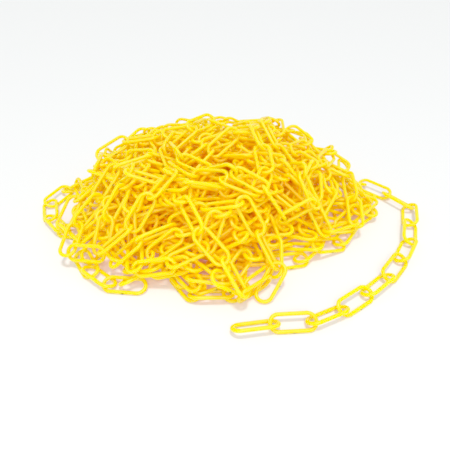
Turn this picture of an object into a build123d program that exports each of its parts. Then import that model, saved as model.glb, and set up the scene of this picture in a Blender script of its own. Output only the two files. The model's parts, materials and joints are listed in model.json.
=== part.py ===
from build123d import *

import os
from math import atan2, cos, degrees, hypot, pi, radians, sin, sqrt

import numpy as np
from scipy.spatial import cKDTree

# Plastic barrier chain: one 100 ft length of moulded links. Most of it lies in a tangled
# heap, and its free end curves out over the floor and ends in an open link.
# Millimetres, +Z up, the floor is z = 0. +X is to the right of the heap and -Y is its front.

# ---- the link and the chain ----
LINK_LENGTH = 51.0  # 2 in, over the ends
LINK_WIDTH = 22.0  # over the two rails
WIRE = 4.5  # diameter of the moulded wire
CHAIN_LENGTH = 30480.0  # 100 ft, pulled straight
RAIL_SPACING = LINK_WIDTH - WIRE  # between the rails' centre lines
RAIL_LENGTH = LINK_LENGTH - LINK_WIDTH  # the straight part of each rail
END_RADIUS = RAIL_SPACING / 2
LOOP_LENGTH = 2 * RAIL_LENGTH + 2 * pi * END_RADIUS  # once round the wire's centre line
TAUT_PITCH = LINK_LENGTH - 2 * WIRE  # from link to link in a chain pulled straight
TAUT_RINGS = 2 * END_RADIUS - WIRE  # between the centres of two joined ends, pulled straight
LINKS = round(CHAIN_LENGTH / TAUT_PITCH)

# ---- the free end: each link lies on the floor, leaning to the left or right by turns ----
FREE_START = (224.0, 19.0)  # where the first free link hooks into the last one of the heap
HEAP_LINK_HEADING = -20.0  # degrees, of that last link of the heap
FREE_HEADINGS = (-44, -54, -106, -109, -122, -129, -139, -144, -154, -176, -171)
FREE_LEAN = 30.0  # degrees between the link's plane and the floor
STRAIGHT_SLACK = 4.0  # how much shorter than taut a straight joint lies
BEND_SLACK = 0.015  # more of it, for each degree that the chain turns at the joint

# ---- the heap: how the chain is poured out ----
HEAP_MIDDLE = -30.0  # the Y of its middle
HEAP_DEPTH = 0.8  # of its width
POUR_SEED = 11
POUR_RADIUS = 210.0  # across: the chain comes down in wandering loops inside this oval
POUR_TAPER = 0.4  # how much smaller the oval is by the end
POUR_SWERVE = 0.5  # radians, how much each link turns from the one before
POUR_PERSISTENCE = 0.55  # how much of the last turn it keeps
POUR_RISE = 0.1  # how far each strand comes down above the one before, per mm of chain
POUR_LEAN = 45.0  # degrees between each poured link and the floor, to the left and right by turns
TURN_BACK_FROM = 0.6  # of the oval's radius: beyond this the chain is steered back
TURN_BACK = 0.8  # radians, how much it is steered at the oval's edge
SHARPEST_TURN = 0.8  # radians from link to link

# ---- how it comes to rest, in small steps ----
FALL = 1.2  # the fastest that a link moves in one step
WEIGHT = 0.015  # what each step adds to a link's downward speed
GATHER_RADIUS = 212.0  # across: the heap is gathered in by hand to this oval
GATHERING = 0.06  # what that adds to a link's inward speed in each step
GATHER_EDGE = 10.0  # it acts in full this far outside the oval
FRICTION = 0.7  # until the last link has come down; then the heap is shaken level
SPEED_KEPT = 0.97
SPIN_KEPT = 0.87
FASTEST_SPIN = 0.05  # radians in one step
SETTLING_STEPS = 1200  # after the last link has come down
LOOSENING_STEPS = 500  # with no weight, until no two links press into each other
PASSES = 4  # of the contact solver in each step
OVERSHOOT = 3.5  # each pass shares a contact among many, so it is exaggerated by this
SEARCH_EVERY = 5  # steps between searches for links that may meet
SEARCH_MARGIN = 1.2
FREE_FALL = 0.3  # of FALL: a link that drops faster has met nothing yet
HEADROOM = 60.0  # links in free fall this far above the heap need no search

# ---- beads along the wire, which stand for it while the heap settles ----
BEADS = 32
BEAD_STEP = LOOP_LENGTH / BEADS
CLEARANCE = 0.12
# two crossing wires are this far apart when their nearest beads are REACH apart
REACH = round(sqrt((WIRE + CLEARANCE) ** 2 + BEAD_STEP**2 / 2), 3)
FLOOR_HEIGHT = WIRE / 2 + 0.2

# ---- how the links are shared out among the files ----
HEAP_RUNS = 46


def place_on_loop(s):
    """The point of the wire's centre line at length s along it, in the link's plane."""
    half, turn = RAIL_LENGTH / 2, pi * END_RADIUS
    if s < RAIL_LENGTH:
        return s - half, -END_RADIUS
    s -= RAIL_LENGTH
    if s < turn:
        return half + END_RADIUS * sin(s / END_RADIUS), -END_RADIUS * cos(s / END_RADIUS)
    s -= turn
    if s < RAIL_LENGTH:
        return half - s, END_RADIUS
    s -= RAIL_LENGTH
    return -half - END_RADIUS * sin(s / END_RADIUS), END_RADIUS * cos(s / END_RADIUS)


BEAD_PLACES = np.round([place_on_loop((k + 0.5) * BEAD_STEP) for k in range(BEADS)], 6)
# a link's inertia about its long axis, its width and its normal, for a mass of 1
ABOUT_LENGTH = float((BEAD_PLACES[:, 1] ** 2).mean())
ABOUT_WIDTH = float((BEAD_PLACES[:, 0] ** 2).mean())
INERTIA = (ABOUT_LENGTH, ABOUT_WIDTH, ABOUT_LENGTH + ABOUT_WIDTH)


# ---- vectors, as rows ----
def dot(a, b):
    return a[:, 0] * b[:, 0] + a[:, 1] * b[:, 1] + a[:, 2] * b[:, 2]


def cross(a, b):
    return np.stack(
        [
            a[:, 1] * b[:, 2] - a[:, 2] * b[:, 1],
            a[:, 2] * b[:, 0] - a[:, 0] * b[:, 2],
            a[:, 0] * b[:, 1] - a[:, 1] * b[:, 0],
        ],
        1,
    )


def size(a):
    return np.sqrt(dot(a, a))


def unit(a):
    return a / size(a)[:, None]


def limited(a, most):
    """The rows of a, with none longer than most."""
    return a * np.minimum(1, most / np.maximum(size(a), 1e-9))[:, None]


def total_by(owner, rows, n):
    """The sum of each owner's rows."""
    return np.stack([np.bincount(owner, rows[:, k], n) for k in range(3)], 1)


# ---- links, as rows: centre, and unit vectors along the length, width and normal ----
def link_rows(centre, along, width):
    width = unit(width - dot(width, along)[:, None] * along)
    return [centre, along, width, cross(along, width)]


def leaning(headings, leans):
    """Unit vectors along the length and width of level links that lean about their length."""
    h, a = np.radians(headings), np.radians(leans)
    flat = np.zeros_like(h)
    along = np.stack([np.cos(h), np.sin(h), flat], 1)
    width = np.stack([-np.sin(h) * np.cos(a), np.cos(h) * np.cos(a), np.sin(a)], 1)
    return along, width


def moved(links, shift, turn):
    """The links, shifted and turned by small amounts."""
    centre, along, width, _ = links
    return link_rows(centre + shift, unit(along + cross(turn, along)), width + cross(turn, width))


def bead_centres(links):
    centre, along, width, _ = (a[:, None, :] for a in links)
    x, y = BEAD_PLACES[None, :, 0, None], BEAD_PLACES[None, :, 1, None]
    return (centre + x * along + y * width).reshape(-1, 3)


def reach(bend):
    """From a link's centre to its joint with the next one, where the chain turns by bend."""
    return (TAUT_PITCH - STRAIGHT_SLACK - BEND_SLACK * bend) / 2


# ---- the free end ----
def free_run():
    """The last link of the heap and the free links after it, with each joint's pivot."""
    headings = [HEAP_LINK_HEADING, *FREE_HEADINGS]
    leans = [-FREE_LEAN * (-1) ** k for k in range(len(headings))]
    along, width = leaning(headings, leans)
    reaches = [reach(abs(b - a)) for a, b in zip(headings, headings[1:])]
    height = WIRE / 2 + END_RADIUS * sin(radians(FREE_LEAN))
    pivot = np.array([*FREE_START, height])
    centres, pivots = [pivot - reaches[0] * along[0]], []
    for k, r in enumerate(reaches):
        pivot = centres[k] + r * along[k]
        pivots.append(pivot)
        centres.append(pivot + r * along[k + 1])
    return link_rows(np.array(centres), along, width), pivots


# ---- the poured chain ----
def poured_links(count, x, y, heading):
    """A chain that comes down in wandering loops from a joint at x, y, each above the last."""
    swerve = np.random.default_rng(POUR_SEED).normal(size=count)
    z = FLOOR_HEIGHT + END_RADIUS * sin(radians(POUR_LEAN))
    bend = 0.0
    before = reach(0)
    centres, headings = [], []
    for k in range(count):
        radius = POUR_RADIUS * (1 - POUR_TAPER * k / count)
        bend = POUR_PERSISTENCE * bend + POUR_SWERVE * swerve[k]
        out_x, out_y = x, (y - HEAP_MIDDLE) / HEAP_DEPTH
        inward = (atan2(-out_y, -out_x) - heading + pi) % (2 * pi) - pi
        strayed = max(0.0, hypot(out_x, out_y) / radius - TURN_BACK_FROM) / (1 - TURN_BACK_FROM)
        turn = bend + TURN_BACK * strayed * max(-1.0, min(1.0, inward))
        turn = max(-SHARPEST_TURN, min(SHARPEST_TURN, turn))
        after = reach(degrees(abs(turn)))
        # the joint behind this link, then its centre, then the joint ahead of it
        x, y = x + (after - before) * cos(heading), y + (after - before) * sin(heading)
        heading += turn
        z += after * POUR_RISE
        centres.append((x + after * cos(heading), y + after * sin(heading), z))
        headings.append(degrees(heading))
        x, y = x + 2 * after * cos(heading), y + 2 * after * sin(heading)
        z += after * POUR_RISE
        before = after
    along, width = leaning(headings, -POUR_LEAN * (-1.0) ** np.arange(count))
    along[:, 2] = POUR_RISE
    along = unit(along)
    # rounded, so that the last digit of a sine can't change how the heap falls
    return [np.round(a, 6) for a in link_rows(np.array(centres), along, width)]


# ---- contact ----
def response(links, owner, arm, push):
    """How each owner turns under a unit push at arm from its centre, and how easily it gives."""
    torque = cross(arm, push)
    turn = sum(
        (dot(torque, axis[owner]) / inertia)[:, None] * axis[owner]
        for axis, inertia in zip(links[1:], INERTIA)
    )
    return turn, 1 + dot(torque, turn)


def pushed_apart(links, owner, start, first, second, free, friction):
    """One pass over the beads that press into each other or the floor. Row 0 is the floor."""
    beads = bead_centres(links)
    n = len(free)
    gap = beads[first] - beads[second]
    hit = np.flatnonzero(dot(gap, gap) < REACH**2)
    low = np.flatnonzero((beads[:, 2] < FLOOR_HEIGHT) & (owner > 0))
    first, second, gap = first[hit], second[hit], gap[hit]
    far = size(gap)
    up = np.zeros((len(low), 3))
    up[:, 2] = 1
    # the rings of two joined ends are never further apart than in a taut joint
    heads = links[0][1:-1] + RAIL_LENGTH / 2 * links[1][1:-1]
    tails = links[0][2:] - RAIL_LENGTH / 2 * links[1][2:]
    pull = tails - heads
    taut = np.flatnonzero(size(pull) > TAUT_RINGS)
    pull = pull[taut]
    pulled = size(pull)
    normal = np.concatenate([gap / far[:, None], up, pull / pulled[:, None]])
    depth = np.concatenate([REACH - far, FLOOR_HEIGHT - beads[low, 2], pulled - TAUT_RINGS])
    slide = beads - start
    slide = np.concatenate([slide[first] - slide[second], slide[low], np.zeros((len(taut), 3))])
    slide -= dot(slide, normal)[:, None] * normal
    slid = size(slide) + 1e-9
    one = np.concatenate([owner[first], owner[low], taut + 1])
    other = np.concatenate([owner[second], np.zeros(len(low), int), taut + 2])
    at_one = np.concatenate([beads[first], beads[low], heads[taut]])
    at_other = np.concatenate([beads[second], beads[low], tails[taut]])
    arm_one, arm_other = at_one - links[0][one], at_other - links[0][other]
    shares = np.bincount(one, minlength=n) + np.bincount(other, minlength=n)
    shift, turn, press = np.zeros((n, 3)), np.zeros((n, 3)), None
    for push, wanted in ((normal, depth), (-slide / slid[:, None], slid)):
        turn_one, gives_one = response(links, one, arm_one, push)
        turn_other, gives_other = response(links, other, arm_other, push)
        gives_one, gives_other = gives_one * shares[one], gives_other * shares[other]
        strength = wanted / (gives_one * free[one] + gives_other * free[other] + 1e-9)
        if press is not None:
            strength = np.minimum(strength, friction * press)
        press = strength
        by_one, by_other = (strength * free[one])[:, None], (strength * free[other])[:, None]
        shift += total_by(one, by_one * push, n) - total_by(other, by_other * push, n)
        turn += total_by(one, by_one * turn_one, n) - total_by(other, by_other * turn_other, n)
    return moved(links, OVERSHOOT * shift, OVERSHOOT * turn)


def may_meet(links, owner, speed, spin):
    """Pairs of beads of different links that could touch before the next search."""
    beads = bead_centres(links)
    furthest = REACH + SEARCH_MARGIN + SEARCH_EVERY * FALL
    pairs = cKDTree(beads).query_pairs(furthest, output_type="ndarray")
    first, second = pairs[:, 0], pairs[:, 1]
    pace = size(speed) + LINK_LENGTH / 2 * size(spin)
    closing = SEARCH_EVERY * np.minimum(FALL, pace[owner[first]] + pace[owner[second]])
    gap = beads[first] - beads[second]
    meet = dot(gap, gap) < (REACH + SEARCH_MARGIN + closing) ** 2
    kept = meet & (owner[first] != owner[second])
    first, second = first[kept], second[kept]
    order = np.argsort(first * len(beads) + second, kind="stable")
    return first[order], second[order]


def step(links, owner, near, speed, spin, free, friction):
    """Moves the links on by one step. Returns them with their new speed and spin."""
    start = bead_centres(links)
    after = moved(links, speed * free[:, None], spin * free[:, None])
    beads = bead_centres(after)
    gap = beads[near[0]] - beads[near[1]]
    close = dot(gap, gap) < (REACH + SEARCH_MARGIN) ** 2
    first, second = near[0][close], near[1][close]
    for _ in range(PASSES):
        after = pushed_apart(after, owner, start, first, second, free, friction)
    speed = SPEED_KEPT * (after[0] - links[0])
    spun = sum(cross(a, b - a) for a, b in zip(links[1:], after[1:])) / 2
    return after, speed, limited(SPIN_KEPT * spun, FASTEST_SPIN)


def gathered(centre):
    """The inward speed that gathering adds to links at these centres."""
    flat = (centre - (0, HEAP_MIDDLE, 0)) * (1, 1 / HEAP_DEPTH, 0)
    far = np.maximum(size(flat), 1)
    outside = np.clip((far - GATHER_RADIUS) / GATHER_EDGE, 0, 1)
    return -GATHERING * (outside / far)[:, None] * flat


def settled(links, fixed):
    """The links after they have fallen on the floor and on each other. The first ones are fixed."""
    n_all = len(links[0])
    free = np.ones(n_all)
    free[:fixed] = 0
    speed, spin = np.zeros((n_all, 3)), np.zeros((n_all, 3))
    speed[fixed:, 2] = -FALL
    column = float(links[0][:, 2].max())
    owner = np.repeat(np.arange(n_all), BEADS)
    falling_steps = int(column / FALL) + SETTLING_STEPS
    for k in range(falling_steps + LOOSENING_STEPS):
        loosening = k >= falling_steps
        if k % SEARCH_EVERY == 0:
            met = -speed[:, 2] < FREE_FALL * FALL
            top = float(links[0][met, 2].max())
            n = int((links[0][:, 2] < top + HEADROOM).sum())
            near = may_meet([a[:n] for a in links], owner[: n * BEADS], speed[:n], spin[:n])
        if loosening:
            speed[:n], spin[:n] = 0, 0
        else:
            speed[:n, 2] -= WEIGHT
            speed[:n] = limited(speed[:n] + gathered(links[0][:n]), FALL)
        some = [a[:n] for a in links]
        friction = FRICTION if k < column / FALL else 0.0
        some, speed[:n], spin[:n] = step(
            some, owner[: n * BEADS], near, speed[:n], spin[:n], free[:n], friction
        )
        for whole, part in zip(links, some):
            whole[:n] = part
        links[0][n:, 2] -= FALL
    return links


def chain():
    """Every link from the end link to the buried end, with the free end's pivots."""
    run, pivots = free_run()
    x, y, _ = run[0][0] - reach(0) * run[1][0]
    fixed = len(run[0])
    heap = poured_links(LINKS - fixed, x, y, radians(HEAP_LINK_HEADING) + pi)
    floor = np.zeros((1, 3)), np.eye(3)[:1], np.eye(3)[1:2], np.eye(3)[2:]
    # each link points away from the free end
    run = [run[0], -run[1], -run[2], run[3]]
    # the floor first, with its beads far below, then the free end and the heap
    rows = [np.concatenate([f, r[::-1], h]) for f, r, h in zip(floor, run, heap)]
    rows[0][0, 2] = -1000
    rows = settled(rows, fixed + 1)
    return [a[1:] for a in rows], pivots


# ---- solids ----
def link_solid():
    """One link: two straight rails and two half rings of round wire, about the origin."""
    rail = Cylinder(WIRE / 2, RAIL_LENGTH, rotation=(0, 90, 0))
    ring = Torus(END_RADIUS, WIRE / 2, major_angle=180, align=None)
    body = Pos(0, END_RADIUS, 0) * rail + Pos(0, -END_RADIUS, 0) * rail
    for side in (1, -1):
        body += Pos(side * RAIL_LENGTH / 2, 0, 0) * Rot(0, 0, -90 * side) * ring
    return body.solid()


def placed(solid, links, k, origin):
    centre, along, _, normal = (a[k] for a in links)
    plane = Plane(origin=tuple(centre - origin), x_dir=tuple(along), z_dir=tuple(normal))
    return plane.location * solid


def write(name, solids):
    export_step(solids[0] if len(solids) == 1 else Compound(solids), f"parts/{name}.step")


def main():
    os.makedirs("parts", exist_ok=True)
    links, pivots = chain()
    beads = bead_centres(links)
    middle = (beads.min(0) + beads.max(0)) / 2
    origin = np.array([middle[0], middle[1], 0])
    solid = link_solid()
    free_count = len(FREE_HEADINGS)
    for k in range(free_count):
        name = "end_link" if k == 0 else f"free_link_{free_count - k:02d}"
        write(name, [placed(solid, links, k, origin)])
    for k, pivot in enumerate(pivots):
        print("pivot", k + 1, *np.round(pivot - origin, 4))
    heap = range(free_count, LINKS)
    for k in range(HEAP_RUNS):
        run = heap[k * len(heap) // HEAP_RUNS : (k + 1) * len(heap) // HEAP_RUNS]
        write(f"heap_run_{k + 1:02d}", [placed(solid, links, i, origin) for i in run])


main()
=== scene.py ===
import json
from math import cos, pi, radians, sin

import bpy
import numpy as np
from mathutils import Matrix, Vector


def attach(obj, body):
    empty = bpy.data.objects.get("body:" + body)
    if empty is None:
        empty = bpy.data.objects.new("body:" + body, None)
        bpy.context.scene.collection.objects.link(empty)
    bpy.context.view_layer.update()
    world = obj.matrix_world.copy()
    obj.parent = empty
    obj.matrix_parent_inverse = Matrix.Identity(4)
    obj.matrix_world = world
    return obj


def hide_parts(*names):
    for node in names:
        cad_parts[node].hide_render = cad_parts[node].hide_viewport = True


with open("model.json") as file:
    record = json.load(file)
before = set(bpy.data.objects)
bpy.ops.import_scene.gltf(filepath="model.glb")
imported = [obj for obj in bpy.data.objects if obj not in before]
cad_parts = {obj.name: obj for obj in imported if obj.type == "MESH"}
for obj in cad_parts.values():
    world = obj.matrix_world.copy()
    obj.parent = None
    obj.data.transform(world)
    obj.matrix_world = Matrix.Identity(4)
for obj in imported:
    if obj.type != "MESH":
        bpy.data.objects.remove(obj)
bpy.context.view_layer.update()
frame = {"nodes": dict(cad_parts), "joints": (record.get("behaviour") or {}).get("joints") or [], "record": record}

# ---- the moulded link, in metres, about its centre: x along it, y across it ----
LENGTH = 0.051
WIDTH = 0.022
WIRE = 0.0045
SKIN = 0.00006  # the moulded skin lies this far inside the nominal wire
WIRE_RADIUS = WIRE / 2 - SKIN
END_RADIUS = (WIDTH - WIRE) / 2
RAIL_HALF = (LENGTH - WIDTH) / 2
LOOP_LENGTH = 4 * RAIL_HALF + 2 * pi * END_RADIUS
RAIL_STEPS = 5  # stations along each rail, and round each end
END_STEPS = 16
SECTION_STEP = 20  # degrees between the points round the wire
FLASH_ANGLES = (45, 225)  # degrees round the wire, where the halves of the mould meet
FLASH_HALF_WIDTH = 4  # degrees
FLASH_HEIGHT = 0.00007
KNIT_PLACE = 0.75 * LOOP_LENGTH  # where the plastic met in the mould, as a faint groove
KNIT_HALF_WIDTH = 0.0014
KNIT_DEPTH = 0.00006
GATE_RADIUS = 0.0011  # the round witness of the gate, on the outside of one rail
GATE_HEIGHT = 0.00015
GATE_SIDES = 12
# from the gate's middle outwards: share of its radius, share of its height
GATE_PROFILE = ((0.35, 0.7), (0.5, 1.0), (0.85, 0.9), (1.0, 0.3), (1.0, -1.2))


def wire_line():
    """Stations along the wire's centre line: place, outward direction, length along."""
    stations = []
    for side in (1, -1):
        start = 0 if side == 1 else LOOP_LENGTH / 2
        for step in range(RAIL_STEPS):
            x = RAIL_HALF * (2 * step / RAIL_STEPS - 1)
            stations.append((side * x, -side * END_RADIUS, 0, -side, start + x + RAIL_HALF))
        for step in range(END_STEPS):
            a = pi * step / END_STEPS
            out_x, out_y = side * sin(a), -side * cos(a)
            x, y = side * RAIL_HALF + END_RADIUS * out_x, END_RADIUS * out_y
            stations.append((x, y, out_x, out_y, start + 2 * RAIL_HALF + a * END_RADIUS))
    return stations


def wire_section():
    """Angles round the wire and radii there: round, with a fine flash at the mould's parting."""
    section = []
    for flash in FLASH_ANGLES:
        for offset in (-FLASH_HALF_WIDTH, 0, FLASH_HALF_WIDTH):
            section.append((radians(flash + offset), WIRE_RADIUS + FLASH_HEIGHT * (offset == 0)))
        for offset in range(SECTION_STEP, 180, SECTION_STEP):
            section.append((radians(flash + offset), WIRE_RADIUS))
    return section


def wire_form():
    """The points and faces of the wire's loop, with the knit line as a groove across it."""
    line, section = wire_line(), wire_section()
    points = []
    for x, y, out_x, out_y, along in line:
        groove = KNIT_DEPTH * max(0.0, 1 - abs(along - KNIT_PLACE) / KNIT_HALF_WIDTH)
        for angle, radius in section:
            out, up = (radius - groove) * cos(angle), (radius - groove) * sin(angle)
            points.append((x + out * out_x, y + out * out_y, up))
    stations, around = len(line), len(section)
    faces = []
    for station in range(stations):
        row, next_row = station * around, (station + 1) % stations * around
        for k in range(around):
            beside = (k + 1) % around
            faces.append((row + k, next_row + k, next_row + beside, row + beside))
    return points, faces


def gate_form():
    """A low ring that stands on the outside of a rail, dished in its middle."""
    points = []
    for share, height in GATE_PROFILE:
        for k in range(GATE_SIDES):
            a = 2 * pi * k / GATE_SIDES
            x, z = GATE_RADIUS * share * cos(a), GATE_RADIUS * share * sin(a)
            surface = END_RADIUS + (WIRE_RADIUS**2 - z**2) ** 0.5
            points.append((x, -surface - GATE_HEIGHT * height, z))
    last_row = range((len(GATE_PROFILE) - 1) * GATE_SIDES, len(GATE_PROFILE) * GATE_SIDES)
    faces = [tuple(range(GATE_SIDES)), tuple(reversed(last_row))]
    for row in range(len(GATE_PROFILE) - 1):
        for k in range(GATE_SIDES):
            a, b = row * GATE_SIDES + k, row * GATE_SIDES + (k + 1) % GATE_SIDES
            faces.append((a, a + GATE_SIDES, b + GATE_SIDES, b))
    return points, faces


def link_form():
    """The points and faces of one moulded link."""
    points, faces = wire_form()
    gate_points, gate_faces = gate_form()
    faces += [tuple(len(points) + k for k in face) for face in gate_faces]
    return np.array(points + gate_points), faces


# ---- where the links lie: each separate solid of a CAD node is one link ----
WELD = 1e7  # per metre: points that agree to a tenth of a micrometre are one point


def loose_parts(mesh):
    """The triangles of each separate solid in a mesh, as corner points."""
    places = np.empty(len(mesh.vertices) * 3)
    mesh.vertices.foreach_get("co", places)
    places = places.reshape(-1, 3)
    mesh.calc_loop_triangles()
    corners = np.empty(len(mesh.loop_triangles) * 3, int)
    mesh.loop_triangles.foreach_get("vertices", corners)
    corners = corners.reshape(-1, 3)
    _, point = np.unique(np.round(places * WELD).astype(int), axis=0, return_inverse=True)
    joined = point.reshape(-1)[corners]
    part = np.arange(point.max() + 1)
    changed = True
    while changed:
        before = part.copy()
        lowest = part[joined].min(1)
        for k in range(3):
            np.minimum.at(part, joined[:, k], lowest)
        part = part[part]
        changed = (part != before).any()
    owner = part[joined[:, 0]]
    return [places[corners[owner == p]] for p in np.unique(owner)]


def pose_of(triangles):
    """A link's centre and its three axes as rows, from its surface's moments."""
    a, b, c = triangles[:, 0], triangles[:, 1], triangles[:, 2]
    area = np.linalg.norm(np.cross(b - a, c - a), axis=1)
    centre = (area @ (a + b + c)) / (3 * area.sum())
    spread = np.zeros((3, 3))
    for p in (a - centre, b - centre, c - centre, a + b + c - 3 * centre):
        spread += (area[:, None] * p).T @ p
    _, axes = np.linalg.eigh(spread)
    along, across = axes[:, 2], axes[:, 1]
    along = along * (1 if along[0] > 0 else -1)
    across = across * (1 if across[2] > 0 else -1)
    return centre, np.stack([along, across, np.cross(along, across)])


# ---- the plastic: textures are (scale per metre, detail), ramps are (place, colour) ----
BLACK, WHITE = (0, 0, 0), (1, 1, 1)
SHADES = ((0.3, (1.0, 0.61, 0.0)), (0.5, (1.0, 0.65, 0.0)), (0.7, (1.0, 0.69, 0.0)))
LINK_SHARE, CLOUD_SHARE, STREAK_SHARE = 0.5, 0.3, 0.2  # of the change in shade
CLOUDS = (45, 2)
STREAKS = (900, 3)
STREAK_STRETCH = (0.12, 1, 1)  # streaks run along the rails of every link
SCUFFS = (260, 6)
SCUFF_EDGE = ((0.60, BLACK), (0.72, WHITE))
SCUFFED_AREAS = (30, 2)
SCUFFED_AREA_EDGE = ((0.45, BLACK), (0.65, (0.35, 0.35, 0.35)))
SCUFF_COLOUR = (1.0, 0.80, 0.10)
SCUFF_ROUGHNESS = 0.5
POLISH = (120, 3)
POLISH_RANGE = 0.10
LEAST_ROUGHNESS = 0.24
PEEL = (1400, 2)
STREAK_HEIGHT, SCUFF_HEIGHT = 0.8, -0.8  # against the peel's
BUMP_STRENGTH = 0.12
BUMP_DISTANCE = 0.00012
# shared by the whole surface: light goes in, spreads and comes out yellow
SHADER_VALUES = {
    "IOR": 1.51,
    "Specular IOR Level": 0.15,
    "Subsurface Weight": 1.0,
    "Subsurface Radius": (1.0, 0.85, 0.1),
    "Subsurface Scale": 0.014,
}


def yellow_polyethylene():
    """Satin moulded plastic that light soaks into, a shade different from link to link."""
    material = bpy.data.materials.new("yellow_polyethylene")
    material.use_nodes = True
    nodes, links = material.node_tree.nodes, material.node_tree.links
    shader = nodes["Principled BSDF"]

    def node(kind, **settings):
        """A new node, its sockets and properties set by name."""
        made = nodes.new(kind)
        for name, value in settings.items():
            if name in made.inputs:
                made.inputs[name].default_value = value
            else:
                setattr(made, name, value)
        return made

    def noise(vector, texture):
        scale, detail = texture
        made = node("ShaderNodeTexNoise", Scale=scale, Detail=detail)
        links.new(vector, made.inputs["Vector"])
        return made.outputs["Fac"]

    def ramp(factor, stops):
        made = node("ShaderNodeValToRGB")
        elements = made.color_ramp.elements
        for place, _ in stops[len(elements) :]:
            elements.new(place)
        for element, (place, colour) in zip(elements, stops):
            element.position, element.color = place, (*colour, 1)
        links.new(factor, made.inputs["Fac"])
        return made.outputs["Color"]

    def calculated(operation, *values):
        """The result of a math node on numbers and other nodes' results."""
        made = node("ShaderNodeMath", operation=operation)
        for socket, value in zip(made.inputs, values):
            if isinstance(value, (int, float)):
                socket.default_value = value
            else:
                links.new(value, socket)
        return made.outputs["Value"]

    def plus(value, share, added):
        """A value with a share of another added."""
        return calculated("ADD", value, calculated("MULTIPLY", added, share))

    place = node("ShaderNodeTexCoord").outputs["Object"]
    mould = node("ShaderNodeAttribute", attribute_name="mould").outputs["Vector"]
    tone = node("ShaderNodeAttribute", attribute_name="tone").outputs["Fac"]
    stretched = node("ShaderNodeMapping", Scale=STREAK_STRETCH)
    links.new(mould, stretched.inputs["Vector"])
    streaks = noise(stretched.outputs["Vector"], STREAKS)

    shade = calculated("MULTIPLY", tone, LINK_SHARE)
    shade = plus(shade, CLOUD_SHARE, noise(place, CLOUDS))
    shade = plus(shade, STREAK_SHARE, streaks)
    body = ramp(shade, SHADES)

    # fine scuffs, paler and duller, where links have rubbed on each other
    areas = ramp(noise(place, SCUFFED_AREAS), SCUFFED_AREA_EDGE)
    rubbed = calculated("MULTIPLY", ramp(noise(place, SCUFFS), SCUFF_EDGE), areas)
    colour = node("ShaderNodeMix", data_type="RGBA")
    plain, scuffed = colour.inputs[6:8]  # the colours, after the node's numbers and vectors
    links.new(rubbed, colour.inputs["Factor"])
    links.new(body, plain)
    scuffed.default_value = (*SCUFF_COLOUR, 1)
    links.new(colour.outputs[2], shader.inputs["Base Color"])

    polish = calculated("MULTIPLY_ADD", noise(place, POLISH), POLISH_RANGE, LEAST_ROUGHNESS)
    links.new(plus(polish, SCUFF_ROUGHNESS, rubbed), shader.inputs["Roughness"])

    peel = plus(noise(mould, PEEL), STREAK_HEIGHT, streaks)
    peel = plus(peel, SCUFF_HEIGHT, rubbed)
    bump = node("ShaderNodeBump", Strength=BUMP_STRENGTH, Distance=BUMP_DISTANCE)
    links.new(peel, bump.inputs["Height"])
    links.new(bump.outputs["Normal"], shader.inputs["Normal"])

    for name, value in SHADER_VALUES.items():
        shader.inputs[name].default_value = value
    return material


# ---- the chain ----
TONE_SEED = 7


def links_piece(name, node, form, material, tones):
    """All the links of one CAD node, as one mesh of separate moulded links."""
    points, faces = form
    poses = [pose_of(part) for part in loose_parts(node.data)]
    places = np.concatenate([centre + points @ axes for centre, axes in poses])
    all_faces = [
        tuple(i * len(points) + k for k in face) for i in range(len(poses)) for face in faces
    ]
    mesh = bpy.data.meshes.new(name)
    mesh.from_pydata(places.tolist(), [], all_faces)
    mould = mesh.attributes.new("mould", "FLOAT_VECTOR", "POINT")
    mould.data.foreach_set("vector", np.tile(points, (len(poses), 1)).ravel())
    tone = mesh.attributes.new("tone", "FLOAT", "POINT")
    tone.data.foreach_set("value", np.repeat(tones.random(len(poses)), len(points)))
    mesh.shade_smooth()
    mesh.materials.append(material)
    piece = bpy.data.objects.new(name, mesh)
    bpy.context.scene.collection.objects.link(piece)
    return piece


def chain():
    """Every CAD node's links, moulded, each piece riding the body of the node it replaces."""
    form = link_form()
    material = yellow_polyethylene()
    tones = np.random.default_rng(TONE_SEED)
    for body, nodes in frame["record"]["behaviour"]["bodies"].items():
        for name in nodes:
            piece = links_piece(f"moulded_{name}", frame["nodes"][name], form, material, tones)
            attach(piece, body)
            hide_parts(name)


# ---- the studio ----
FLOOR_HALF = 4.0
FLOOR_CORNERS = ((-1, -1), (1, -1), (1, 1), (-1, 1))
FLOOR_COLOUR = (0.82, 0.84, 0.835)  # cool, against the warm glow of the chain
FLOOR_ROUGHNESS = 0.7
# high and even, so that the floor stays white right to the back
KEY_PLACE = (0.1, -0.2, 1.9)
KEY_STRENGTH = 1.45
KEY_SPREAD = 10  # degrees
FRONT_PLACE = (0.05, -1.3, 1.1)
FRONT_POWER = 9
FRONT_SIZE = 0.7
WORLD_STRENGTH = 0.58
GAMMA = 1.5
BOUNCES = 48  # light goes deep into the heap before it comes out
CAMERA_FROM_FIRST_JOINT = (-0.197, -0.554)
CAMERA_HEIGHT = 0.357
CAMERA_PITCH = 37.45  # degrees below level
CAMERA_LENS = 36.4
CAMERA_SENSOR = 36


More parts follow.
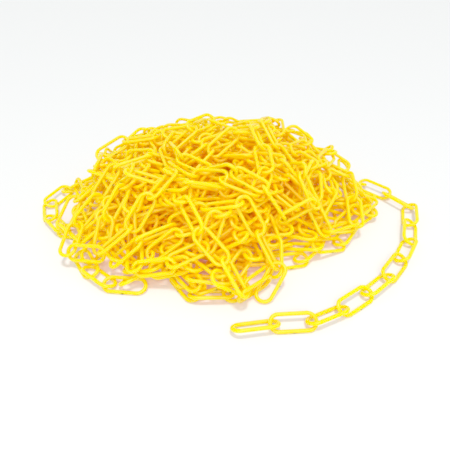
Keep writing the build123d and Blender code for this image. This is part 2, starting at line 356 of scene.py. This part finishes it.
def floor():
    """White paper, far larger than the heap."""
    mesh = bpy.data.meshes.new("floor")
    corners = [(x * FLOOR_HALF, y * FLOOR_HALF, 0) for x, y in FLOOR_CORNERS]
    mesh.from_pydata(corners, [], [(0, 1, 2, 3)])
    material = bpy.data.materials.new("white_paper")
    material.use_nodes = True
    shader = material.node_tree.nodes["Principled BSDF"]
    shader.inputs["Base Color"].default_value = (*FLOOR_COLOUR, 1)
    shader.inputs["Roughness"].default_value = FLOOR_ROUGHNESS
    mesh.materials.append(material)
    piece = bpy.data.objects.new("floor", mesh)
    bpy.context.scene.collection.objects.link(piece)


def lamp(name, kind, place, energy):
    """A lamp at this place, turned to the middle of the floor."""
    light = bpy.data.lights.new(name, kind)
    light.energy = energy
    piece = bpy.data.objects.new(name, light)
    piece.location = place
    piece.rotation_euler = Vector(place).to_track_quat("Z", "Y").to_euler()
    bpy.context.scene.collection.objects.link(piece)
    return light


def studio():
    """The floor, the lamps, the sky's even light and how the picture is developed."""
    floor()
    lamp("key", "SUN", KEY_PLACE, KEY_STRENGTH).angle = radians(KEY_SPREAD)
    lamp("front", "AREA", FRONT_PLACE, FRONT_POWER).size = FRONT_SIZE
    world = bpy.data.worlds.new("studio")
    world.use_nodes = True
    background = world.node_tree.nodes["Background"]
    background.inputs["Color"].default_value = (*WHITE, 1)
    background.inputs["Strength"].default_value = WORLD_STRENGTH
    scene = bpy.context.scene
    scene.world = world
    scene.view_settings.view_transform = "Standard"
    scene.view_settings.gamma = GAMMA
    scene.cycles.max_bounces = BOUNCES
    scene.cycles.diffuse_bounces = BOUNCES


def camera():
    """The photograph's camera, placed from the joint where the free end leaves the heap."""
    first_joint = frame["joints"][0]["pos_m"]
    lens = bpy.data.cameras.new("camera")
    lens.lens, lens.sensor_width = CAMERA_LENS, CAMERA_SENSOR
    eye = bpy.data.objects.new("camera", lens)
    x, y = (joint + offset for joint, offset in zip(first_joint, CAMERA_FROM_FIRST_JOINT))
    eye.location = (x, y, CAMERA_HEIGHT)
    eye.rotation_euler = (radians(90 - CAMERA_PITCH), 0, 0)
    bpy.context.scene.collection.objects.link(eye)
    bpy.context.scene.camera = eye


camera()
chain()
studio()
